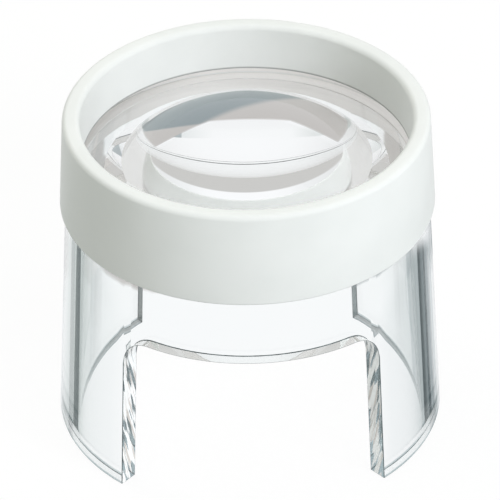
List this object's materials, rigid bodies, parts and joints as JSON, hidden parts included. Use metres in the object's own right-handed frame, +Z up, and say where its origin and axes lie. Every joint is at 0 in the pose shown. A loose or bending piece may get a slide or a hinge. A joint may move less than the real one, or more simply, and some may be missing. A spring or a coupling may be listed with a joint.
{
  "type": "stand magnifier",
  "caption": "Stand magnifier: a clear domed lens recessed in a white ring, held at reading distance by a clear conical foot with arched cut-outs that leave curved legs.",
  "frame": {"origin": "on the lens's axis, in the plane that the foot stands on", "axes": "+Z up along the lens's axis; -Y to the front cut-out, +Y to the back one; the legs stand at -X and +X"},
  "size_m": [0.061, 0.0578, 0.0534],
  "materials": {
    "white_plastic": "fine satin moulded white with a faint green-grey tone",
    "clear_lens": "polished clear acrylic",
    "clear_foot": "moulded clear acrylic with machined cut faces"
  },
  "bodies": {
    "root": {"ring": "white_plastic", "lens": "clear_lens", "foot": "clear_foot"}
  },
  "joints": []
}
